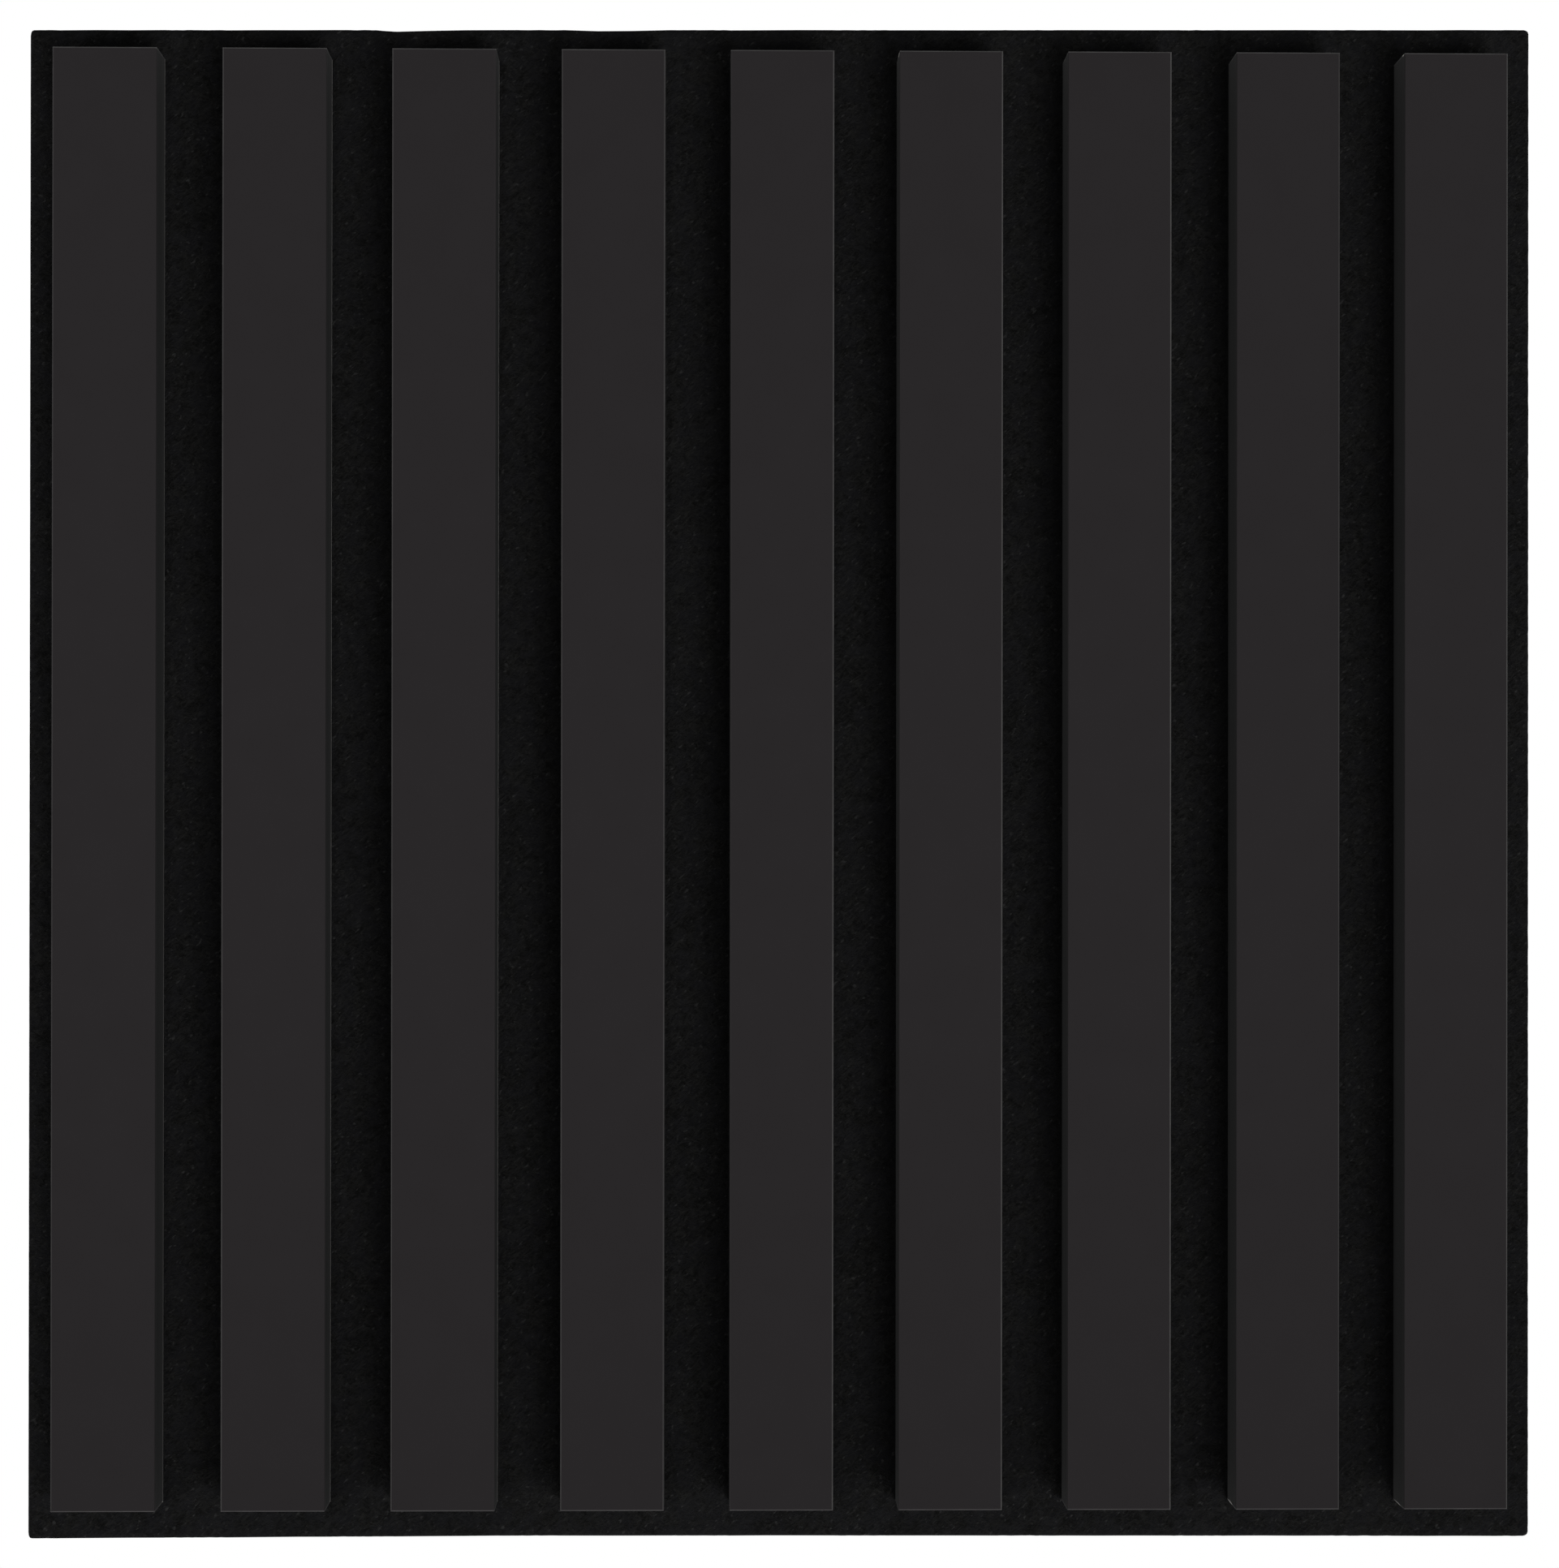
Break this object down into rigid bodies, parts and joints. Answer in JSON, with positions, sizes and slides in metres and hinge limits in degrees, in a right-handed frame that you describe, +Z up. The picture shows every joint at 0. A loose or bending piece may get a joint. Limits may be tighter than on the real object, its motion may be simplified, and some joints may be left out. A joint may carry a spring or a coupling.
{
  "type": "acoustic slat wall panel",
  "caption": "Flat sound-absorbing wall panel of evenly spaced matt black laminated slats, stapled from behind to one sheet of pressed black felt that shows between them.",
  "frame": {"origin": "centre of the felt's back face, on the wall's surface", "axes": "+Z up along the slats, +Y into the wall, so that the slats face -Y"},
  "size_m": [0.36, 0.021, 0.3626],
  "materials": {
    "felt": "pressed polyester felt, black, matt and fibrous",
    "slat_core": "black dyed fibreboard, sawn and sanded, matt",
    "slat_facing": "black laminate, dead matt, its eased edge a little lighter",
    "staple_wire": "galvanised flat wire"
  },
  "bodies": {
    "root": {"felt_backing": "felt", "slat_core_1": "slat_core", "slat_facing_1": "slat_facing", "slat_core_2": "slat_core", "slat_facing_2": "slat_facing", "slat_core_3": "slat_core", "slat_facing_3": "slat_facing", "slat_core_4": "slat_core", "slat_facing_4": "slat_facing", "slat_core_5": "slat_core", "slat_facing_5": "slat_facing", "slat_core_6": "slat_core", "slat_facing_6": "slat_facing", "slat_core_7": "slat_core", "slat_facing_7": "slat_facing", "slat_core_8": "slat_core", "slat_facing_8": "slat_facing", "slat_core_9": "slat_core", "slat_facing_9": "slat_facing", "staples": "staple_wire"}
  },
  "joints": []
}
